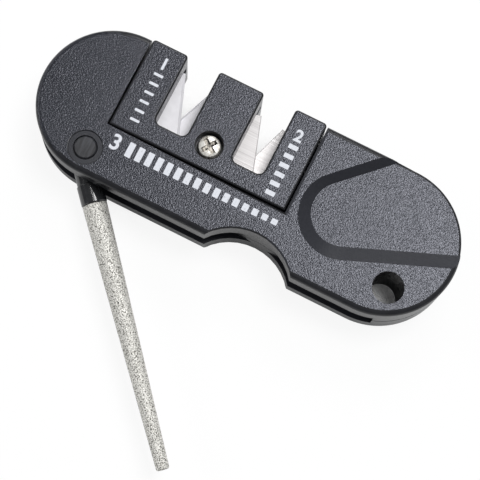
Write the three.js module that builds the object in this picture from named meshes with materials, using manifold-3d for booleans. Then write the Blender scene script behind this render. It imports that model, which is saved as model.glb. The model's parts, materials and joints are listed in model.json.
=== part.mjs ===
// Pocket knife sharpener with a fold-out tapered rod, in millimetres, lying on its back face.
// X runs along the body towards the lanyard hole, Y towards the blade slots, Z up through the thickness.
import * as THREE from 'three';
import { mergeVertices } from 'three/addons/utils/BufferGeometryUtils.js';
import Module from 'manifold-3d';

const wasm = await Module();
wasm.setup();

// Body shells
const bodyLength = 90;
const bodyWidth = 30.4;
const bodyThickness = 15;
const edgeRound = 1.1;
const wall = 2.2;
const seam = 0.2;
const grooveHeight = 0.5;
const grooveDepth = 0.22;
const fit = 0.3;

// Rod, its hub and the pivot, with the angles measured from +X
const pivotInset = 14.5;
const pivotRise = 4.9;
const hubDiameter = 5.2;
const hubReach = 9.95;
const hubCollar = 4.2;
const hubNeckStep = 0.18;
const rodOffset = 1.0;
const rodBaseDiameter = 5.0;
const rodTipDiameter = 2.64;
const rodTipRound = 0.35;
const shankDiameter = 3.2;
const shankLength = 5.6;
const channelEndInset = 10.3;
const rodTipClearance = 1.1;
const restAngle = THREE.MathUtils.degToRad(-48.35);
const stowedAngle = THREE.MathUtils.degToRad(-2.4);
const pinDiameter = 3.0;
const pinHeadDiameter = 4.6;
const pinHeadHeight = 1.0;
const pinHeadDepth = 0.1;
const pinHeadEdge = 0.25;
const ringDiameter = 6.7;
const ringDepth = 0.2;

// Finger notch, thumb pad and lanyard hole
const notchX = 7.4;
const notchDepth = 4.7;
const notchRadius = 11.7;
const padX = 20.47;
const padY = 0.26;
const padRadius = 6.43;
const padDepth = 1.4;
const bandWidth = 2.33;
const padSlant = 0.49;
const padLowerAngle = THREE.MathUtils.degToRad(22.4);
const padUpperAngle = THREE.MathUtils.degToRad(45.0);
const lanyardInset = 10.5;
const lanyardRise = 6.75;
const lanyardDiameter = 6.4;

// Cartridge and its two blade slots
const cartridgeX = -9.4;
const cartridgeLength = 38.4;
const cartridgeHeight = 19.35;
const cartridgeRise = 0.3;
const cartridgeRound = 0.4;
const cartridgeCorner = 0.7;
const slotWidth = 6.95;
const slotDepth = 15.2;
const slotRound = 1.4;
const ceramicSlotOffset = -8.02;
const carbideSlotOffset = 8.8;

// Abrasive plates, leaning to each side of a slot and crossing above its floor
const crossingRise = 5.0;
const plateGap = 0.3;
const ceramicAbove = 8.6;
const carbideAbove = 7.65;
const pocketAbove = 9.4;
const plateBelow = 6.0;
const plateWidth = 6.0;
const ceramicThickness = 2.2;
const ceramicLean = THREE.MathUtils.degToRad(21);
const ceramicBevel = 0.45;
const carbideThickness = 1.8;
const carbideLean = THREE.MathUtils.degToRad(18.5);
const carbideBevel = 0.18;

// Cartridge screw, its nut and the body tab that it clamps
const screwOffset = 0.33;
const screwRise = 4.97;
const screwDiameter = 2.9;
const screwHeadDiameter = 4.7;
const screwHeadHeight = 1.7;
const screwHeadDepth = 0.7;
const screwEndInset = 1.1;
const headClearance = 0.4;
const crossWidth = 0.95;
const crossLength = 3.3;
const crossDepth = 0.9;
const crossTurn = 56.5;
const nutFlats = 5.5;
const nutHeight = 2.4;
const nutInset = 0.9;
const tabRadius = 2.6;
const tabThickness = 2.2;

// Moulded pins that line up the two shells
const shellPinDiameter = 2.2;
const shellPinLength = 3.6;
const shellPinBoss = 4.6;
const leftPinInset = 8.0;
const leftPinY = 3.6;
const rightPinInset = 7.4;
const rightPinY = 4.4;
const upperPinX = 15.6;
const upperPinRise = 5.6;

// The frame's origin lies on the back face, on the bridge under the cartridge
const originRise = 7.8;

// Facets
const endSegments = 40;
const roundSegments = 40;
const filletSegments = 4;
const weldDistance = 1e-4;
const overshoot = 5;
const quarterTurn = 90;

// Places worked out from the sizes above
const endRadius = bodyWidth / 2;
const endX = bodyLength / 2 - endRadius;
const midZ = bodyThickness / 2;
const pivotX = -bodyLength / 2 + pivotInset;
const pivotY = -bodyWidth / 2 + pivotRise;
const hubRadius = hubDiameter / 2;
const eyeRadius = hubRadius + rodOffset;
const channelHalf = hubRadius + fit;
const channelEndX = bodyLength / 2 - channelEndInset;
const rodReach = channelEndX - pivotX - rodTipClearance;
const cartridgeLeft = cartridgeX - cartridgeLength / 2;
const cartridgeRight = cartridgeX + cartridgeLength / 2;
const cartridgeTop = bodyWidth / 2 + cartridgeRise;
const cartridgeFloor = cartridgeTop - cartridgeHeight;
const ceramicSlotX = cartridgeX + ceramicSlotOffset;
const carbideSlotX = cartridgeX + carbideSlotOffset;
const slotFloor = cartridgeTop - slotDepth;
const crossingY = slotFloor + crossingRise;
const screwX = cartridgeX + screwOffset;
const screwY = cartridgeFloor + screwRise;
const headTop = bodyThickness - screwHeadDepth;
const headSeat = headTop - screwHeadHeight;
const lanyardX = bodyLength / 2 - lanyardInset;
const lanyardY = -bodyWidth / 2 + lanyardRise;
const notchY = -bodyWidth / 2 + notchDepth - notchRadius;
const shellPins = [
  [-bodyLength / 2 + leftPinInset, leftPinY],
  [bodyLength / 2 - rightPinInset, rightPinY],
  [upperPinX, bodyWidth / 2 - upperPinRise],
];

// A closed three.js geometry as a solid that can be joined and cut
function solid(geometry) {
  const bare = geometry.clone();
  bare.deleteAttribute('normal');
  bare.deleteAttribute('uv');
  const merged = mergeVertices(bare, weldDistance);
  return new wasm.Manifold(new wasm.Mesh({
    numProp: 3,
    vertProperties: new Float32Array(merged.attributes.position.array),
    triVerts: new Uint32Array(merged.index.array),
  }));
}

// A solid back as a three.js geometry
function geometryOf(body) {
  const mesh = body.getMesh();
  const geometry = new THREE.BufferGeometry();
  geometry.setAttribute('position', new THREE.BufferAttribute(mesh.vertProperties, 3));
  geometry.setIndex(new THREE.BufferAttribute(mesh.triVerts, 1));
  geometry.computeVertexNormals();
  return geometry;
}

// A prism of a flat outline between two heights
function prism(shape, low, high) {
  const options = { depth: high - low, bevelEnabled: false, curveSegments: roundSegments };
  return solid(new THREE.ExtrudeGeometry(shape, options).translate(0, 0, low));
}

// A prism from the back face to the front face whose outer edges are rounded over
function roundedPrism(shape, round, segments) {
  const options = {
    depth: bodyThickness - 2 * round,
    bevelThickness: round,
    bevelSize: round,
    bevelOffset: -round,
    bevelSegments: filletSegments,
    curveSegments: segments,
  };
  return solid(new THREE.ExtrudeGeometry(shape, options).translate(0, 0, round));
}

// A box given by its corners
function block(left, right, near, far, low, high) {
  const box = new THREE.BoxGeometry(right - left, far - near, high - low);
  return solid(box.translate((left + right) / 2, (near + far) / 2, (low + high) / 2));
}

// An upright cylinder between two heights
function post(x, y, radius, low, high) {
  const cylinder = new THREE.CylinderGeometry(radius, radius, high - low, roundSegments);
  return solid(cylinder.rotateX(Math.PI / 2).translate(x, y, (low + high) / 2));
}

// A turned piece along Z, from a list of radius and height pairs that starts and ends on the axis
function turned(pairs) {
  const profile = pairs.map(([radius, height]) => new THREE.Vector2(radius, height));
  return solid(new THREE.LatheGeometry(profile, roundSegments).rotateX(Math.PI / 2));
}

// A closed outline through straight corners
function polygon(corners) {
  return new THREE.Shape(corners.map(([x, y]) => new THREE.Vector2(x, y)));
}

// A slice of everything between two heights
function slice(low, high) {
  return block(-bodyLength, bodyLength, -bodyLength, bodyLength, low, high);
}

// The part of a solid in front of the seam, or behind it
function frontHalf(body) {
  return body.intersect(slice(midZ + seam / 2, bodyThickness + overshoot));
}

function backHalf(body) {
  return body.intersect(slice(-overshoot, midZ - seam / 2));
}

function stadium(inset) {
  const shape = new THREE.Shape();
  shape.absarc(-endX, 0, endRadius - inset, Math.PI / 2, 3 * Math.PI / 2, false);
  shape.absarc(endX, 0, endRadius - inset, -Math.PI / 2, Math.PI / 2, false);
  return shape;
}

// The space that the hub and rod sweep between the shells, from folded in to pointing straight out
function rodChannel() {
  const low = midZ - channelHalf;
  const high = midZ + channelHalf;
  const along = new THREE.Vector2(Math.cos(stowedAngle), Math.sin(stowedAngle));
  const upward = new THREE.Vector2(-along.y, along.x);
  const above = (reach, radius) => {
    const rise = radius + fit - rodOffset;
    return [pivotX + reach * along.x + rise * upward.x, pivotY + reach * along.y + rise * upward.y];
  };
  const endReach = (channelEndX - pivotX) / along.x;
  const corridor = polygon([
    [pivotX - hubRadius, -bodyWidth],
    [channelEndX, -bodyWidth],
    above(endReach, rodTipDiameter / 2),
    above(hubReach, hubRadius),
    above(-hubRadius, hubRadius),
  ]);
  const sweepTop = pivotY + eyeRadius + fit;
  return prism(corridor, low, high)
    .add(block(-bodyLength, pivotX, -bodyWidth, sweepTop, low, high))
    .add(post(pivotX, pivotY, eyeRadius + fit, low, high));
}

// The thumb pad's cut: a flat floor with a sloping band round it, open at the lanyard end.
// It sinks at a slant, so the band is wider along its lower arm.
function thumbPad() {
  const arm = bodyLength;
  const lower = [padX + padRadius * Math.sin(padLowerAngle), padY - padRadius * Math.cos(padLowerAngle)];
  const upper = [padX - padRadius * Math.sin(padUpperAngle), padY + padRadius * Math.cos(padUpperAngle)];
  const shape = new THREE.Shape();
  shape.moveTo(...lower);
  shape.lineTo(lower[0] + arm * Math.cos(padLowerAngle), lower[1] + arm * Math.sin(padLowerAngle));
  shape.lineTo(upper[0] + arm * Math.cos(padUpperAngle), upper[1] + arm * Math.sin(padUpperAngle));
  shape.lineTo(...upper);
  shape.absarc(padX, padY, padRadius, Math.PI / 2 + padUpperAngle, 3 * Math.PI / 2 + padLowerAngle, false);
  const options = {
    depth: padDepth,
    bevelThickness: padDepth,
    bevelSize: bandWidth,
    bevelSegments: 1,
    curveSegments: roundSegments,
  };
  const slant = new THREE.Matrix4().makeShear(0, 0, 0, 0, 0, -padSlant);
  const cut = new THREE.ExtrudeGeometry(shape, options).applyMatrix4(slant);
  return solid(cut.translate(0, 0, bodyThickness));
}

// The hollow cores at the two ends of the shells, with the bosses left standing in them
function shellCores() {
  const low = wall;
  const high = bodyThickness - padDepth - wall;
  const inside = prism(stadium(wall), low, high);
  const recessLeft = cartridgeLeft - fit - wall;
  const recessRight = cartridgeRight + fit + wall;
  const leftFloor = pivotY + eyeRadius + fit + wall;
  const left = block(-bodyLength, recessLeft, leftFloor, bodyWidth, low, high);
  const rightFloor = pivotY + hubRadius - rodOffset + fit + wall;
  const right = block(recessRight, bodyLength, rightFloor, bodyWidth, low, high);
  let cores = inside.intersect(left.add(right));
  cores = cores.subtract(post(lanyardX, lanyardY, lanyardDiameter / 2 + wall, low, high));
  for (const [x, y] of shellPins) {
    cores = cores.subtract(post(x, y, shellPinBoss / 2, low, high));
  }
  return cores;
}

// The shallow groove round the outside where the two shells meet
function seamGroove() {
  const low = midZ - grooveHeight / 2;
  const high = midZ + grooveHeight / 2;
  const kept = prism(stadium(grooveDepth), low - overshoot, high + overshoot);
  return prism(stadium(-overshoot), low, high).subtract(kept);
}

// Everything that is cut from both shells alike
function bodyBlank() {
  const through = [-overshoot, bodyThickness + overshoot];
  const sides = [cartridgeLeft - fit, cartridgeRight + fit];
  const recess = block(...sides, cartridgeFloor - fit, bodyWidth, ...through);
  return roundedPrism(stadium(0), edgeRound, endSegments)
    .subtract(seamGroove())
    .subtract(recess)
    .subtract(rodChannel())
    .subtract(shellCores())
    .subtract(post(notchX, notchY, notchRadius, ...through))
    .subtract(post(lanyardX, lanyardY, lanyardDiameter / 2, ...through))
    .subtract(post(pivotX, pivotY, pinDiameter / 2 + fit / 2, ...through));
}

function frontShell() {
  const headFloor = bodyThickness - pinHeadDepth - pinHeadHeight - fit / 2;
  let shell = frontHalf(bodyBlank())
    .subtract(thumbPad())
    .subtract(post(pivotX, pivotY, ringDiameter / 2, bodyThickness - ringDepth, bodyThickness + overshoot))
    .subtract(post(pivotX, pivotY, pinHeadDiameter / 2 + fit / 2, headFloor, bodyThickness + overshoot));
  for (const [x, y] of shellPins) {
    shell = shell.add(post(x, y, shellPinDiameter / 2, midZ - shellPinLength, midZ + wall));
  }
  return shell;
}

// The back shell carries the tab that the cartridge screw clamps
function backShell() {
  const headCeiling = pinHeadDepth + pinHeadHeight + fit / 2;
  const tabLow = midZ - tabThickness / 2;
  const tabHigh = midZ + tabThickness / 2;
  const root = cartridgeFloor - fit - wall;
  const foot = cartridgeFloor - fit;
  let shell = backHalf(bodyBlank())
    .subtract(post(pivotX, pivotY, pinHeadDiameter / 2 + fit / 2, -overshoot, headCeiling));
  for (const [x, y] of shellPins) {
    const socketFloor = midZ - shellPinLength - fit;
    shell = shell.subtract(post(x, y, (shellPinDiameter + fit) / 2, socketFloor, midZ));
  }
  return shell
    .add(block(screwX - tabRadius, screwX + tabRadius, root, screwY, tabLow, midZ - seam / 2))
    .add(block(screwX - tabRadius, screwX + tabRadius, foot, screwY, tabLow, tabHigh))
    .add(post(screwX, screwY, tabRadius, tabLow, tabHigh))
    .subtract(post(screwX, screwY, screwDiameter / 2 + fit, tabLow - fit, tabHigh + fit));
}

// The rounded top of one post of the cartridge, drawn from its right side to its left
function postTop(shape, right, left) {
  const turnY = cartridgeTop - cartridgeCorner;
  shape.absarc(right - cartridgeCorner, turnY, cartridgeCorner, 0, Math.PI / 2, false);
  shape.absarc(left + cartridgeCorner, turnY, cartridgeCorner, Math.PI / 2, Math.PI, false);
}

function cartridgeOutline() {
  const half = slotWidth / 2;
  const turnY = slotFloor + slotRound;
  const shape = new THREE.Shape();
  let right = cartridgeRight;
  shape.moveTo(cartridgeLeft, cartridgeFloor);
  shape.lineTo(cartridgeRight, cartridgeFloor);
  for (const x of [carbideSlotX, ceramicSlotX]) {
    postTop(shape, right, x + half);
    shape.absarc(x + half - slotRound, turnY, slotRound, 0, -Math.PI / 2, true);
    shape.absarc(x - half + slotRound, turnY, slotRound, -Math.PI / 2, -Math.PI, true);
    right = x - half;
  }
  postTop(shape, right, cartridgeLeft);
  shape.closePath();
  return shape;
}

// An abrasive plate's outline: its working edge crosses the slot's middle line, leaning to one side
function plateOutline(slotX, lean, side, above, clearance) {
  const corner = (out, up) => [
    slotX + side * (up * Math.sin(lean) + out * Math.cos(lean)),
    crossingY + up * Math.cos(lean) - out * Math.sin(lean),
  ];
  const top = above + clearance;
  const bottom = -plateBelow - clearance;
  const edge = -clearance;
  const back = plateWidth + clearance;
  const corners = [corner(edge, bottom), corner(back, bottom), corner(back, top), corner(edge, top)];
  return polygon(side > 0 ? corners : corners.reverse());
}

// Left plates sit in the front half of the cartridge and right plates in the back half
function plateHeights(thickness, side) {
  const inner = plateGap / 2;
  const outer = plateGap / 2 + thickness;
  return side < 0 ? [midZ + inner, midZ + outer] : [midZ - outer, midZ - inner];
}

const plateSets = [
  {
    name: 'ceramic',
    slotX: ceramicSlotX,
    above: ceramicAbove,
    thickness: ceramicThickness,
    lean: ceramicLean,
    bevel: ceramicBevel,
    finish: 'ceramicWhite',
  },
  {
    name: 'carbide',
    slotX: carbideSlotX,
    above: carbideAbove,
    thickness: carbideThickness,
    lean: carbideLean,
    bevel: carbideBevel,
    finish: 'carbideGrey',
  },
];

// A plate with its working edge bevelled on both faces
function plate(set, side) {
  const heights = plateHeights(set.thickness, side);
  const section = polygon([[0, -set.bevel], [set.bevel, 0], [0, set.bevel], [-set.bevel, 0]]);
  const turn = THREE.MathUtils.radToDeg(-side * set.lean);
  let slab = prism(plateOutline(set.slotX, set.lean, side, set.above, 0), ...heights);
  for (const height of heights) {
    const trim = prism(section, -plateBelow - overshoot, set.above + overshoot)
      .rotate([-quarterTurn, 0, 0])
      .rotate([0, 0, turn])
      .translate([set.slotX, crossingY, height]);
    slab = slab.subtract(trim);
  }
  return slab;
}

function cartridgeHalf(side) {
  const blank = roundedPrism(cartridgeOutline(), cartridgeRound, filletSegments);
  const tabFoot = cartridgeFloor - overshoot;
  const tabHalf = tabThickness / 2 + fit;
  let half = side < 0 ? frontHalf(blank) : backHalf(blank);
  for (const set of plateSets) {
    const [low, high] = plateHeights(set.thickness, side);
    const outline = plateOutline(set.slotX, set.lean, side, pocketAbove, fit);
    half = half.subtract(side < 0 ? prism(outline, midZ, high + fit) : prism(outline, low - fit, midZ));
  }
  return half
    .subtract(block(
      screwX - tabRadius - fit, screwX + tabRadius + fit, tabFoot, screwY, midZ - tabHalf, midZ + tabHalf,
    ))
    .subtract(post(screwX, screwY, tabRadius + fit, midZ - tabHalf, midZ + tabHalf))
    .subtract(post(screwX, screwY, screwDiameter / 2 + fit, -overshoot, bodyThickness + overshoot));
}

function cartridgeFront() {
  const bore = screwHeadDiameter / 2 + headClearance;
  return cartridgeHalf(-1).subtract(post(screwX, screwY, bore, headSeat - seam, bodyThickness + overshoot));
}

function hexagon(flats) {
  const sides = 6;
  const radius = flats / 2 / Math.cos(Math.PI / sides);
  const corners = Array.from({ length: sides }, (_, i) => {
    const angle = 2 * Math.PI * i / sides;
    return [screwX + radius * Math.cos(angle), screwY + radius * Math.sin(angle)];
  });
  return polygon(corners);
}

function cartridgeBack() {
  const pocketTop = nutInset + nutHeight + seam;
  return cartridgeHalf(1).subtract(prism(hexagon(nutFlats + fit), -overshoot, pocketTop));
}

function cartridgeNut() {
  const bore = post(screwX, screwY, screwDiameter / 2 + fit / 2, -overshoot, bodyThickness);
  return prism(hexagon(nutFlats), nutInset, nutInset + nutHeight).subtract(bore);
}

function cartridgeScrew() {
  const headRadius = screwHeadDiameter / 2;
  const crown = screwHeadHeight / 2;
  const screw = turned([
    [0, screwEndInset],
    [screwDiameter / 2, screwEndInset],
    [screwDiameter / 2, headSeat],
    [headRadius, headSeat],
    [headRadius, headTop - crown],
    [headRadius - crown * (1 - Math.SQRT1_2), headTop - crown * (1 - Math.SQRT1_2)],
    [headRadius - crown, headTop],
    [0, headTop],
  ]);
  const long = crossLength / 2;
  const half = crossWidth / 2;
  const low = headTop - crossDepth;
  const high = headTop + overshoot;
  const cross = block(-long, long, -half, half, low, high)
    .add(block(-half, half, -long, long, low, high))
    .rotate([0, 0, crossTurn]);
  return screw.subtract(cross).translate([screwX, screwY, 0]);
}

// The pivot pin has a head on the front and a riveted tail on the back
function pivotPin() {
  const radius = pinDiameter / 2;
  const head = pinHeadDiameter / 2;
  const frontTop = bodyThickness - pinHeadDepth;
  const pin = turned([
    [0, pinHeadDepth],
    [head - pinHeadEdge, pinHeadDepth],
    [head, pinHeadDepth + pinHeadEdge],
    [head, pinHeadDepth + pinHeadHeight],
    [radius, pinHeadDepth + pinHeadHeight],
    [radius, frontTop - pinHeadHeight],
    [head, frontTop - pinHeadHeight],
    [head, frontTop - pinHeadEdge],
    [head - pinHeadEdge, frontTop],
    [0, frontTop],
  ]);
  return pin.translate([pivotX, pivotY, 0]);
}

// The hub and rod are drawn folded along +X about the pivot, then turned to where they rest
function alongRod(body) {
  return body.rotate([0, quarterTurn, 0]).translate([0, -rodOffset, midZ]);
}

function rodHub() {
  const neckRadius = hubRadius - hubNeckStep;
  const collarStart = hubReach - hubCollar;
  const barrel = turned([
    [0, 0],
    [neckRadius, 0],
    [neckRadius, collarStart],
    [hubRadius, collarStart + hubNeckStep],
    [hubRadius, hubReach - hubNeckStep],
    [neckRadius, hubReach],
    [0, hubReach],
  ]);
  const socket = turned([
    [0, hubReach - shankLength - fit],
    [shankDiameter / 2 + fit / 2, hubReach - shankLength - fit],
    [shankDiameter / 2 + fit / 2, hubReach + overshoot],
    [0, hubReach + overshoot],
  ]);
  return alongRod(barrel)
    .add(post(0, 0, eyeRadius, midZ - hubRadius, midZ + hubRadius))
    .subtract(alongRod(socket))
    .subtract(post(0, 0, pinDiameter / 2 + fit / 2, -overshoot, bodyThickness + overshoot));
}

function diamondRod() {
  const shank = shankDiameter / 2;
  const base = rodBaseDiameter / 2;
  const tip = rodTipDiameter / 2;
  const start = hubReach + fit / 2;
  const rod = turned([
    [0, hubReach - shankLength],
    [shank, hubReach - shankLength],
    [shank, start],
    [base, start],
    [tip, rodReach - rodTipRound],
    [tip - rodTipRound, rodReach],
    [0, rodReach],
  ]);
  return alongRod(rod);
}

// Finishes
const finishes = {
  shellBlack: { color: 0x2b2c30, roughness: 0.62, metalness: 0 },
  hubBlack: { color: 0x17181b, roughness: 0.28, metalness: 0 },
  ceramicWhite: { color: 0xe9e8e8, roughness: 0.45, metalness: 0 },
  carbideGrey: { color: 0xb9b7b5, roughness: 0.32, metalness: 1 },
  nickel: { color: 0xd9d4c6, roughness: 0.22, metalness: 1 },
  blackSteel: { color: 0x2a2b2f, roughness: 0.5, metalness: 0.6 },
  diamond: { color: 0xa8a7a1, roughness: 0.7, metalness: 0.6 },
};

function node(name, body, finish) {
  const mesh = new THREE.Mesh(geometryOf(body), new THREE.MeshStandardMaterial(finishes[finish]));
  mesh.name = name;
  return mesh;
}

const sharpener = new THREE.Group();
sharpener.position.y = bodyWidth / 2 - originRise;
sharpener.add(
  node('front_shell', frontShell(), 'shellBlack'),
  node('back_shell', backShell(), 'shellBlack'),
  node('cartridge_front', cartridgeFront(), 'shellBlack'),
  node('cartridge_back', cartridgeBack(), 'shellBlack'),
  node('cartridge_screw', cartridgeScrew(), 'nickel'),
  node('cartridge_nut', cartridgeNut(), 'nickel'),
  node('pivot_pin', pivotPin(), 'blackSteel'),
);
for (const set of plateSets) {
  sharpener.add(node(`${set.name}_left`, plate(set, -1), set.finish));
  sharpener.add(node(`${set.name}_right`, plate(set, 1), set.finish));
}

// The swinging rod at its rest angle
const rodGroup = new THREE.Group();
rodGroup.position.set(pivotX, pivotY, 0);
rodGroup.rotation.z = restAngle;
rodGroup.add(node('rod_hub', rodHub(), 'hubBlack'), node('diamond_rod', diamondRod(), 'diamond'));
sharpener.add(rodGroup);

export default sharpener;
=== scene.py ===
import json
import math

import bmesh
import bpy
from mathutils import Matrix, Vector, noise


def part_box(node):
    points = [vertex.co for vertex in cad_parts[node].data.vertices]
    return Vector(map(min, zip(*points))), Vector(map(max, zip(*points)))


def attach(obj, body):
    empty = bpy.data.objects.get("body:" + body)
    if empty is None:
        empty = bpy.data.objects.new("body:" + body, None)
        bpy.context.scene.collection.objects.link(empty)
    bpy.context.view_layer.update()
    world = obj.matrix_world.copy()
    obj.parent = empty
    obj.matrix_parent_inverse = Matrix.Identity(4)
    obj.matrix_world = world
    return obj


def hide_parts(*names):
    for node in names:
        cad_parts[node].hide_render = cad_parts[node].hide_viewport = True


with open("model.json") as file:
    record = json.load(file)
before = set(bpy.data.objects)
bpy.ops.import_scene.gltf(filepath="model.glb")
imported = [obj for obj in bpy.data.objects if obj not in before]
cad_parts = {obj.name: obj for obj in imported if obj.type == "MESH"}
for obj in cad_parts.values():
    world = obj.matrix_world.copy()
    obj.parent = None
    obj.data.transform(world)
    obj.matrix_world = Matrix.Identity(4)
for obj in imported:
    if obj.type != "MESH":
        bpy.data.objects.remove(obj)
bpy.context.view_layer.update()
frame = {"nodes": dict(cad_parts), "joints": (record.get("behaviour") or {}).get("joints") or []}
scene = bpy.context.scene
scene.view_settings.view_transform = "Standard"

# Camera
# Looks down on the face from a little beyond the lower edge, turned and rolled as the sharpener
# lies in its picture, with a long lens for the mild perspective.
mm = 0.001
aim = Vector((4.765, -5.698, 15.0)) * mm
camera_turn = math.radians(17.08)
camera_tilt = math.radians(11.13)
camera_roll = math.radians(9.73)
camera_distance = 331 * mm
stand = (
    Matrix.Rotation(camera_turn, 4, "Z")
    @ Matrix.Rotation(camera_tilt, 4, "X")
    @ Matrix.Rotation(camera_roll, 4, "Z")
)
camera = bpy.data.objects.new("camera", bpy.data.cameras.new("camera"))
camera.data.lens = 128.0
camera.data.sensor_width = 36.0
camera.data.clip_start = 0.01
camera.matrix_world = Matrix.Translation(aim) @ stand @ Matrix.Translation((0, 0, camera_distance))
scene.collection.objects.link(camera)
scene.camera = camera


# Studio
# A white table in a dim room. A soft box above and to the right is the main light, the ceiling, a far
# lamp, a near lamp and a pale wall on the left fill in, and one small lamp gives a glint. The table
# reads as white paper and keeps the soft shadow under the body.
def add_node(material, kind, inputs=None, **settings):
    """Adds one shader node to a finish, sets it, and sets or links its inputs."""
    node = material.node_tree.nodes.new("ShaderNode" + kind)
    for key, value in settings.items():
        setattr(node, key, value)
    for key, value in (inputs or {}).items():
        give(material, node, key, value)
    return node


def give(material, node, key, value):
    """Sets one input of a node, or links a pattern to it."""
    if isinstance(value, bpy.types.NodeSocket):
        material.node_tree.links.new(value, node.inputs[key])
    else:
        node.inputs[key].default_value = value


def range_of(material, value, low, high, to_low, to_high):
    """A pattern's value stretched from one range to another."""
    inputs = {"Value": value, "From Min": low, "From Max": high, "To Min": to_low, "To Max": to_high}
    return add_node(material, "MapRange", inputs).outputs["Result"]


def combined(material, how, first, second):
    """Two patterns joined by one sum."""
    return add_node(material, "Math", {0: first, 1: second}, operation=how).outputs[0]


table_size = 8.0
table_drop = 0.05 * mm
shape = bmesh.new()
bmesh.ops.create_grid(
    shape, x_segments=1, y_segments=1, size=table_size / 2, matrix=Matrix.Translation((0, 0, -table_drop))
)
table = bpy.data.objects.new("table", bpy.data.meshes.new("table"))
shape.to_mesh(table.data)
shape.free()
scene.collection.objects.link(table)
paper_white = 0.9
mirrored_white = 0.64
shadow_reach = 12 * mm
shadow_core = 0.13
shadow_edge = 0.24
open_sky = 0.9
paper = bpy.data.materials.new("white_paper")
paper.use_nodes = True
paper.node_tree.nodes.clear()
path = add_node(paper, "LightPath")
sky = add_node(paper, "AmbientOcclusion", {"Distance": shadow_reach}, samples=12).outputs["AO"]
bare = range_of(paper, sky, shadow_core, shadow_edge, 0.0, paper_white)
open_floor = range_of(paper, sky, shadow_edge, open_sky, 0.0, mirrored_white)
mirrored = combined(paper, "MAXIMUM", path.outputs["Is Glossy Ray"], path.outputs["Is Transmission Ray"])
direct = combined(paper, "MULTIPLY", path.outputs["Is Camera Ray"], bare)
share = combined(paper, "MAXIMUM", direct, combined(paper, "MULTIPLY", mirrored, open_floor))
lit = add_node(paper, "BsdfDiffuse", {"Color": (0.97, 0.97, 0.97, 1)})
glow = add_node(paper, "Emission", {"Color": (1, 1, 1, 1), "Strength": 1.0})
mixed = add_node(paper, "MixShader", {0: share, 1: lit.outputs[0], 2: glow.outputs[0]})
add_node(paper, "OutputMaterial", {"Surface": mixed.outputs[0]})
table.data.materials.append(paper)

room = bpy.data.worlds.new("dim_room")
room.use_nodes = True
room_walls = room.node_tree.nodes["Background"]
room_walls.inputs["Color"].default_value = (0.95, 0.97, 1.0, 1)
room_walls.inputs["Strength"].default_value = 0.21
scene.world = room


def hang_lamp(name, place, width, radiance):
    """A square area lamp at a place, facing the sharpener."""
    lamp = bpy.data.lights.new(name, "AREA")
    lamp.size = width
    lamp.energy = radiance * math.pi * width * width
    holder = bpy.data.objects.new(name, lamp)
    holder.location = place
    holder.rotation_mode = "QUATERNION"
    holder.rotation_quaternion = Vector(place).to_track_quat("Z", "Y")
    scene.collection.objects.link(holder)


hang_lamp("ceiling", (-0.05, 0.32, 1.0), width=1.1, radiance=0.06)
hang_lamp("far_lamp", (-0.15, 0.84, 0.78), width=0.36, radiance=6.5)
hang_lamp("soft_box", (0.185, 0.255, 1.0), width=0.36, radiance=17.9)
hang_lamp("left_wall", (-0.95, 0.35, 0.45), width=0.6, radiance=1.2)
hang_lamp("near_lamp", (-0.9, -0.2, 0.6), width=0.24, radiance=8.0)
hang_lamp("top_lamp", (-0.15, 0.18, 0.95), width=0.04, radiance=16.0)


# Back shell
# The lower half of the body, injection moulded in black ABS. Its outer face carries the fine
# spark-eroded texture of the mould, and the walls, the rod channel and most of the rim are polished.
def new_finish(name, constants=None):
    """A finish, with the sockets of its shader that are the same all over the surface."""
    finish = bpy.data.materials.new(name)
    finish.use_nodes = True
    for socket, value in (constants or {}).items():
        give_shader(finish, socket, value)
    return finish


def give_shader(finish, socket, value):
    """Sets a socket of a finish's shader, or links a pattern to it."""
    give(finish, finish.node_tree.nodes["Principled BSDF"], socket, value)


def object_coordinates(finish):
    """Coordinates in which a pattern keeps its place on the piece."""
    return add_node(finish, "TexCoord").outputs["Object"]


def noise_of(finish, scale, detail):
    """Noise through a finish, alike in all directions."""
    inputs = {"Vector": object_coordinates(finish), "Scale": scale, "Detail": detail}
    return add_node(finish, "TexNoise", inputs).outputs["Fac"]


def colour_by(finish, pattern, stops):
    """Colours a finish by a ramp over a pattern, from a list of positions and colours."""
    ramp = add_node(finish, "ValToRGB", {"Fac": pattern})
    ends = ramp.color_ramp.elements
    for i, (position, colour) in enumerate(stops):
        stop = ends[i] if i < 2 else ends.new(position)
        stop.position = position
        stop.color = (*colour, 1)
    give_shader(finish, "Base Color", ramp.outputs["Color"])


def roughness_by(finish, pattern, at_low, at_high):
    """Varies the roughness of a finish over the values that noise mostly has."""
    noise_low, noise_high = 0.3, 0.7
    give_shader(finish, "Roughness", range_of(finish, pattern, noise_low, noise_high, at_low, at_high))


def relief_by(finish, pattern, strength, depth):
    """Raises a pattern as fine relief, with its depth in millimetres."""
    inputs = {"Height": pattern, "Strength": strength, "Distance": depth * mm}
    give_shader(finish, "Normal", add_node(finish, "Bump", inputs).outputs["Normal"])


textured_black = new_finish(
    "textured_black_plastic", {"Specular IOR Level": 0.44, "Specular Tint": (0.88, 0.90, 1.0, 1)}
)
grain = noise_of(textured_black, 5000, 1.5)
cells = {"Vector": object_coordinates(textured_black), "Scale": 4200}
pebble = add_node(textured_black, "TexVoronoi", cells, feature="SMOOTH_F1").outputs["Distance"]
colour_by(textured_black, grain, [(0.34, (0.0055, 0.006, 0.008)), (0.68, (0.027, 0.0285, 0.0365))])
roughness_by(textured_black, grain, 0.29, 0.20)
relief_by(textured_black, combined(textured_black, "SUBTRACT", grain, pebble), 0.9, 0.047)

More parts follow.
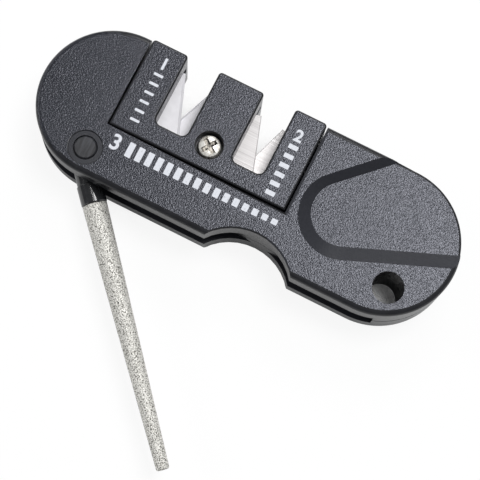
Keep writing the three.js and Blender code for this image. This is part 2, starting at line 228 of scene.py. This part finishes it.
polished_black = new_finish("polished_black_plastic", {"Specular IOR Level": 0.24})
ripple = noise_of(polished_black, 420, 3)
colour_by(polished_black, ripple, [(0.35, (0.017, 0.0175, 0.020)), (0.70, (0.024, 0.0245, 0.028))])
roughness_by(polished_black, noise_of(polished_black, 2400, 2), 0.27, 0.31)
relief_by(polished_black, ripple, 0.02, 0.05)

satin_black = new_finish("satin_black_plastic", {"Specular IOR Level": 0.24})
haze = noise_of(satin_black, 1800, 3)
colour_by(satin_black, haze, [(0.35, (0.026, 0.0272, 0.033)), (0.70, (0.032, 0.0332, 0.040))])
roughness_by(satin_black, haze, 0.34, 0.28)

weld = 0.002 * mm
hair = 0.01 * mm
flat_angle = math.radians(0.25)
smooth_angle = math.radians(28)
corner_angle = math.radians(80)


def moulding(node, name, body, finishes, finish_at, edge_at=None):
    """A welded copy of a CAD node with its flat facets joined, its rounds shaded smooth, and a finish
    for each face picked by finish_at from the face's normal and its middle in millimetres. A sharp
    level edge is rounded by the radius that edge_at gives for its middle. Edges between two finishes
    stay crisp."""
    shape = bmesh.new()
    shape.from_mesh(frame["nodes"][node].data)
    bmesh.ops.remove_doubles(shape, verts=shape.verts, dist=weld)
    bmesh.ops.dissolve_limit(
        shape, angle_limit=flat_angle, use_dissolve_boundaries=False, verts=shape.verts, edges=shape.edges
    )
    softened = {}
    for edge in shape.edges if edge_at else []:
        start, end = (point.co for point in edge.verts)
        if edge.calc_face_angle(0) > corner_angle and abs(start.z - end.z) < hair:
            softened.setdefault(edge_at((start + end) / 2 / mm), []).append(edge)
    softened.pop(0, None)
    for radius, edges in softened.items():
        bmesh.ops.bevel(
            shape, geom=edges, offset=radius * mm, affect="EDGES", segments=4, profile=0.5, material=-1
        )
    bmesh.ops.remove_doubles(shape, verts=shape.verts, dist=weld)
    for face in shape.faces:
        face.smooth = True
        face.material_index = finish_at(face.normal, face.calc_center_median() / mm)
    for edge in shape.edges:
        kinds = {face.material_index for face in edge.link_faces}
        edge.smooth = len(kinds) == 1 and edge.calc_face_angle(0) < smooth_angle
    piece = bpy.data.objects.new(name, bpy.data.meshes.new(name))
    shape.to_mesh(piece.data)
    shape.free()
    for finish in finishes:
        piece.data.materials.append(finish)
    scene.collection.objects.link(piece)
    evened = piece.modifiers.new("evened_normals", "WEIGHTED_NORMAL")
    evened.mode = "FACE_AREA"
    evened.keep_sharp = True
    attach(piece, body)
    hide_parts(node)


pivot = Vector(frame["joints"][0]["pos_m"])
shell_low, shell_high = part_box("front_shell")
face_height = 15.0
level_normal = 0.999
edge_round = 1.1
left_end = -20
rim_top, rim_turn = 1.25, 0.8
pad_floor, pad_start = 13.6, 10
opening_left, opening_right, opening_low, opening_round = -28, 11, 2, 0.55
ring_reach, ring_round = 4.5, 0.18
notch_left, notch_right, notch_top, notch_round = -2, 17, -2, 0.35
pad_end_reach, pad_end_round = 0.05, 0.5


def stadium_inset(point):
    """How far a point lies inside the body's round-ended outline."""
    radius = (shell_high.y - shell_low.y) / 2 / mm
    middle_y = (shell_high.y + shell_low.y) / 2 / mm
    straight = shell_high.x / mm - radius
    return radius - math.hypot(max(abs(point.x) - straight, 0), point.y - middle_y)


def on_face(middle, within=0.01):
    """True at the height of the front or the back face."""
    return min(middle.z, face_height - middle.z) < within


def shell_finish(normal, middle):
    """The face, the floor of the thumb pad and the back have the texture, which runs on over the rim of
    the left end. The sloping band round the pad and the floor of the pin's ring are satin."""
    flat = abs(normal.z) > level_normal
    if flat and (on_face(middle, within=0.05) or abs(middle.z - pad_floor) < 0.1):
        return 0
    from_edge = stadium_inset(middle)
    leftward = -normal.x / max(math.hypot(normal.x, normal.y), 0.001)
    if from_edge < edge_round and middle.x < left_end and normal.z > rim_top - rim_turn * leftward:
        return 0
    on_band = middle.x > pad_start and pad_floor < middle.z and from_edge > edge_round
    return 2 if flat or on_band else 1


def shell_edge(middle):
    """Rounds the opening that the cartridge sits in, the pin's ring, the finger notch, and the open end
    of the thumb pad's floor."""
    if on_face(middle) and opening_left < middle.x < opening_right and middle.y > opening_low:
        return opening_round
    if on_face(middle) and math.hypot(middle.x - pivot.x / mm, middle.y - pivot.y / mm) < ring_reach:
        return ring_round
    if on_face(middle) and notch_left < middle.x < notch_right and middle.y < notch_top:
        return notch_round
    on_pad = abs(middle.z - pad_floor) < 0.01
    return pad_end_round if on_pad and stadium_inset(middle) < pad_end_reach else 0


shell_finishes = [textured_black, polished_black, satin_black]
moulding("back_shell", "back_moulding", "body", shell_finishes, shell_finish, shell_edge)

# Front shell
# The upper half, moulded in the same black ABS, with the sunk thumb pad, the finger notch and the
# lanyard hole. Moulded pins hold it to the back shell.
moulding("front_shell", "front_moulding", "body", shell_finishes, shell_finish, shell_edge)


# Pivot pin
# A blackened steel rivet through both shells, which the hub turns on. Its head is sunk in a shallow
# ring on the face, and fine scratches run across it.
def streaks_of(finish, turn, stretch):
    """Noise drawn out in streaks, turned about the height of the body."""
    inputs = {"Vector": object_coordinates(finish), "Rotation": (0, 0, turn), "Scale": stretch}
    drawn_out = add_node(finish, "Mapping", inputs).outputs[0]
    return add_node(finish, "TexNoise", {"Vector": drawn_out, "Scale": 1.0, "Detail": 3}).outputs["Fac"]


blackened = new_finish("blackened_steel", {"Specular IOR Level": 0.3})
scratch = streaks_of(blackened, 0.9, (2600, 300, 300))
colour_by(blackened, scratch, [(0.40, (0.016, 0.0164, 0.019)), (0.78, (0.056, 0.058, 0.066))])
roughness_by(blackened, scratch, 0.5, 0.32)
relief_by(blackened, scratch, 0.2, 0.05)
frame["nodes"]["pivot_pin"].material_slots[0].material = blackened

# Rod hub
# A moulding in glossy black plastic that turns on the pivot pin between the shells. A bore along its
# arm holds the shank of the rod.
gloss_black = new_finish("gloss_black_plastic", {"Specular IOR Level": 0.7})
ripple = noise_of(gloss_black, 600, 3)
colour_by(gloss_black, ripple, [(0.35, (0.015, 0.0155, 0.017)), (0.70, (0.024, 0.0245, 0.027))])
roughness_by(gloss_black, ripple, 0.08, 0.15)
moulding("rod_hub", "hub_moulding", "rod", [gloss_black], lambda normal, middle: 0)

# Diamond rod
# A tapered steel rod with diamond grit held in nickel plate. It is pressed into the hub by its
# shank, and its tip is a little rounded.
rod_angle = math.radians(-48.35)
rod_offset = 1.0 * mm
rod_start = 10.1 * mm
rod_reach = 64.1 * mm
rod_base = 2.5 * mm
rod_tip = 1.32 * mm
tip_round = 0.35 * mm
tip_shoulder = 0.3 * tip_round
shank_start = 4.35 * mm
shank_radius = 1.6 * mm
ring_steps = 84
length_steps = 420
grit_height = 0.022 * mm
coarse_grit = 0.26 * mm
fine_grit = 0.13 * mm
fine_share = 0.7
shape = bmesh.new()
outline = [(shank_start, 0), (shank_start, shank_radius), (rod_start, shank_radius)]
taper_end = rod_reach - tip_round
for i in range(length_steps + 1):
    along = rod_start + (taper_end - rod_start) * i / length_steps
    outline.append((along, rod_base + (rod_tip - rod_base) * i / length_steps))
outline.append((rod_reach - tip_shoulder, rod_tip - tip_shoulder))
outline += [(rod_reach, rod_tip - tip_round), (rod_reach, 0)]
points = [shape.verts.new((along, radius, 0)) for along, radius in outline]
sides = [shape.edges.new(pair) for pair in zip(points, points[1:])]
bmesh.ops.spin(
    shape, geom=points + sides, cent=(0, 0, 0), axis=(1, 0, 0), angle=math.tau, steps=ring_steps,
    use_merge=True,
)
bmesh.ops.remove_doubles(shape, verts=shape.verts, dist=weld / 2)
bmesh.ops.recalc_face_normals(shape, faces=shape.faces)
for point in shape.verts:
    radius = math.hypot(point.co.y, point.co.z)
    if point.co.x > rod_start + hair and radius > rod_tip / 2:
        grit = noise.noise(point.co / coarse_grit) + fine_share * noise.noise(point.co / fine_grit)
        push = 1 + grit_height * grit / radius
        point.co.y *= push
        point.co.z *= push
for face in shape.faces:
    face.smooth = True
turned = Matrix.Translation(pivot) @ Matrix.Rotation(rod_angle, 4, "Z")
bmesh.ops.transform(shape, matrix=turned @ Matrix.Translation((0, -rod_offset, 0)), verts=shape.verts)
rod = bpy.data.objects.new("grit_rod", bpy.data.meshes.new("grit_rod"))
shape.to_mesh(rod.data)
shape.free()
scene.collection.objects.link(rod)
diamond_grit = new_finish("diamond_grit", {"Metallic": 0.35, "Specular IOR Level": 0.25})
speck = noise_of(diamond_grit, 4900, 1.5)
cells = {"Vector": object_coordinates(diamond_grit), "Scale": 4100}
crystal = add_node(diamond_grit, "TexVoronoi", cells).outputs["Distance"]
crystal_share = 0.25
pits = combined(diamond_grit, "SUBTRACT", speck, combined(diamond_grit, "MULTIPLY", crystal, crystal_share))
colour_by(diamond_grit, pits, [
    (0.22, (0.05, 0.046, 0.04)), (0.52, (0.88, 0.865, 0.82)),
    (0.30, (0.46, 0.45, 0.41)), (0.39, (0.79, 0.775, 0.73)),
])
roughness_by(diamond_grit, speck, 0.65, 0.48)
relief_by(diamond_grit, pits, 0.8, 0.16)
rod.data.materials.append(diamond_grit)
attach(rod, "rod")
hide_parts("diamond_rod")

# Cartridge
# A two-part insert in the same textured black ABS, with a blade slot near each end. It slides over
# a tab of the back shell, and one screw clamps it there.
# The slot walls' base colour is a grey far lighter than the black plastic around them. It is a painted
# reflection of the pale table, under the real gloss reflection.
slot_gloss_and_painted_reflection = new_finish("slot_wall_gloss_and_painted_reflection", {"Specular IOR Level": 1.0, "Coat Weight": 1.0})
ripple = noise_of(slot_gloss_and_painted_reflection, 500, 3)
colour_by(slot_gloss_and_painted_reflection, ripple, [(0.35, (0.14, 0.141, 0.145)), (0.70, (0.18, 0.181, 0.186))])
roughness_by(slot_gloss_and_painted_reflection, ripple, 0.06, 0.12)

ceramic_slot = -17.42
carbide_slot = -0.6
slot_half = 3.15
upright_normal = 0.05
bore_reach = 4
cartridge_round = 0.18
screw_low, screw_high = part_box("cartridge_screw")
screw_axis = (screw_low + screw_high) / 2 / mm


def from_screw(middle):
    """How far a point lies from the screw's axis."""
    return math.hypot(middle.x - screw_axis.x, middle.y - screw_axis.y)


def cartridge_finish(normal, middle):
    """The outer faces have the texture, the upright walls of the slots are polished to a gloss, and the
    bore of the screw and the sloping faces are polished."""
    if abs(normal.z) > level_normal and on_face(middle, within=0.1):
        return 0
    if upright_normal < abs(normal.z) < level_normal:
        return 1
    in_slot = min(abs(middle.x - ceramic_slot), abs(middle.x - carbide_slot)) < slot_half
    if in_slot and abs(normal.z) < upright_normal:
        return 2
    return 1 if from_screw(middle) < bore_reach else 0


for half in ("front", "back"):
    moulding(
        f"cartridge_{half}", f"cartridge_{half}_moulding", "body",
        [textured_black, polished_black, slot_gloss_and_painted_reflection], cartridge_finish,
        lambda middle: cartridge_round * on_face(middle),
    )

# Ceramic plates
# Two sintered white alumina plates that cross in a V, for fine honing. They are held in pockets of
# the cartridge halves.
ceramic = new_finish("white_ceramic")
cloud = noise_of(ceramic, 700, 4)
colour_by(ceramic, cloud, [(0.30, (0.77, 0.76, 0.79)), (0.70, (0.83, 0.82, 0.85))])
roughness_by(ceramic, cloud, 0.5, 0.38)
relief_by(ceramic, cloud, 0.08, 0.05)
for side in ("left", "right"):
    frame["nodes"][f"ceramic_{side}"].material_slots[0].material = ceramic

# Carbide plates
# Two ground tungsten carbide plates that cross in the other slot, for coarse edges. The grinding
# has left fine lines across each plate, square to its working edge.
carbide_lean = math.radians(18.5)
# The two plates get different greys: the right plate's, deeper in its slot, is painted brighter than the
# left's to make up for the shade of the slot wall on it (painted light).
for side, lean, painted_light_grey in (("left", carbide_lean, 0.74), ("right", -carbide_lean, 0.98)):
    carbide = new_finish(f"ground_carbide_{side}", {"Metallic": 0.2})
    lines = streaks_of(carbide, -lean, (90, 5200, 90))
    colour_by(carbide, lines, [
        (0.30, (0.8 * painted_light_grey, 0.77 * painted_light_grey, 0.765 * painted_light_grey)), (0.62, (painted_light_grey, 0.97 * painted_light_grey, 0.965 * painted_light_grey)),
    ])
    roughness_by(carbide, lines, 0.6, 0.45)
    relief_by(carbide, lines, 0.12, 0.04)
    frame["nodes"][f"carbide_{side}"].material_slots[0].material = carbide

# Screw and nut
# A nickel-plated pan-head screw with a worn cross recess, and the captive nut behind it. They clamp
# the two halves of the cartridge together.
nickel = new_finish("bright_nickel", {"Metallic": 0.5})
wear = noise_of(nickel, 1500, 3)
colour_by(nickel, wear, [(0.36, (0.36, 0.33, 0.28)), (0.52, (0.86, 0.84, 0.79))])
roughness_by(nickel, wear, 0.46, 0.25)
relief_by(nickel, wear, 0.25, 0.06)
frame["nodes"]["cartridge_nut"].material_slots[0].material = nickel
# The cross recess is painted dark as shade, with patches of paler metal.
recess_painted_shade = new_finish("screw_recess_painted_shade", {"Metallic": 0.5})
recess_shade_pattern = noise_of(recess_painted_shade, 1300, 2)
colour_by(recess_painted_shade, recess_shade_pattern, [(0.41, (0.014, 0.012, 0.010)), (0.60, (0.42, 0.39, 0.34))])
roughness_by(recess_painted_shade, recess_shade_pattern, 0.7, 0.35)
recess_radius = 1.75
recess_low, recess_high = 13.0, screw_high.z / mm - 0.01


def screw_finish(normal, middle):
    """The cross recess has a finish darkened with painted shade."""
    return 1 if from_screw(middle) < recess_radius and recess_low < middle.z < recess_high else 0


moulding("cartridge_screw", "worn_screw", "body", [nickel, recess_painted_shade], screw_finish)

# Printed marks
# White pad-printed ink on the face: a plain number for each of the three abrasives, with a column of
# bars by each slot and a tapering row of bars for the rod.
ink = new_finish("white_ink")
speck = noise_of(ink, 2600, 2)
colour_by(ink, speck, [(0.26, (0.44, 0.45, 0.48)), (0.42, (0.68, 0.70, 0.75))])
roughness_by(ink, speck, 0.7, 0.55)
relief_by(ink, speck, 0.3, 0.04)
ink_height = 0.02
ink_spread = 0.10
ink_weld = 0.0005 * mm
digit_share = 0.7
bar_corner = 0.12 * mm


def numeral(text, size, x, y):
    """A printed number, as a thin raised mesh centred on a point of the face."""
    curve = bpy.data.curves.new(f"number_{text}", "FONT")
    curve.body = text
    curve.size = size / digit_share
    curve.align_x = "CENTER"
    curve.align_y = "CENTER"
    curve.offset = ink_spread
    curve.extrude = ink_height / 2
    drawn = bpy.data.objects.new(f"number_{text}", curve)
    scene.collection.objects.link(drawn)
    mesh = bpy.data.meshes.new_from_object(drawn.evaluated_get(bpy.context.evaluated_depsgraph_get()))
    bpy.data.objects.remove(drawn)
    mesh.transform(Matrix.Scale(mm, 4) @ Matrix.Translation((x, y, face_height + ink_height / 2)))
    shape = bmesh.new()
    shape.from_mesh(mesh)
    return shape


def add_bar(shape, x, y, length, height):
    """One printed bar with softened corners."""
    made = bmesh.ops.create_cube(shape, size=1.0)["verts"]
    bmesh.ops.transform(
        shape,
        matrix=Matrix.Translation(Vector((x, y, face_height + ink_height / 2)) * mm)
        @ Matrix.Diagonal((length * mm, height * mm, ink_height * mm, 1)),
        verts=made,
    )
    corners = set(made)
    upright = [
        edge for edge in shape.edges
        if edge.verts[0] in corners and abs(edge.verts[0].co.z - edge.verts[1].co.z) > ink_height * mm / 2
    ]
    bmesh.ops.bevel(
        shape, geom=upright, offset=bar_corner, affect="EDGES", segments=2, profile=0.5, material=-1
    )


def printed(shape, name):
    """Makes the shapes of one mark a piece in white ink."""
    piece = bpy.data.objects.new(name, bpy.data.meshes.new(name))
    bmesh.ops.remove_doubles(shape, verts=shape.verts, dist=ink_weld)
    bmesh.ops.recalc_face_normals(shape, faces=shape.faces)
    shape.to_mesh(piece.data)
    shape.free()
    piece.data.materials.clear()
    piece.data.materials.append(ink)
    scene.collection.objects.link(piece)
    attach(piece, "body")


column_bars, column_pitch, column_width, column_digit = 6, 2.05, 2.0, 2.4
for name, digit, column_x, digit_y, first_bar_y, bar_height in (
    ("print_ceramic", "1", -24.4, 19.0, 16.6, 0.55),
    ("print_carbide", "2", 5.8, 18.0, 15.6, 0.95),
):
    column = numeral(digit, column_digit, column_x, digit_y)
    for i in range(column_bars):
        add_bar(column, column_x, first_bar_y - column_pitch * i, column_width, bar_height)
    printed(column, name)
row_bars, row_pitch, row_start, row_y = 16, 2.1, -22.4, 0.55
row_width, row_height, row_taper = 1.25, 3.1, 0.13
row_digit_x = -25.6
long_row = numeral("3", row_height, row_digit_x, row_y)
for i in range(row_bars):
    add_bar(long_row, row_start + row_pitch * i, row_y, row_width, row_height - row_taper * i)
printed(long_row, "print_rod")
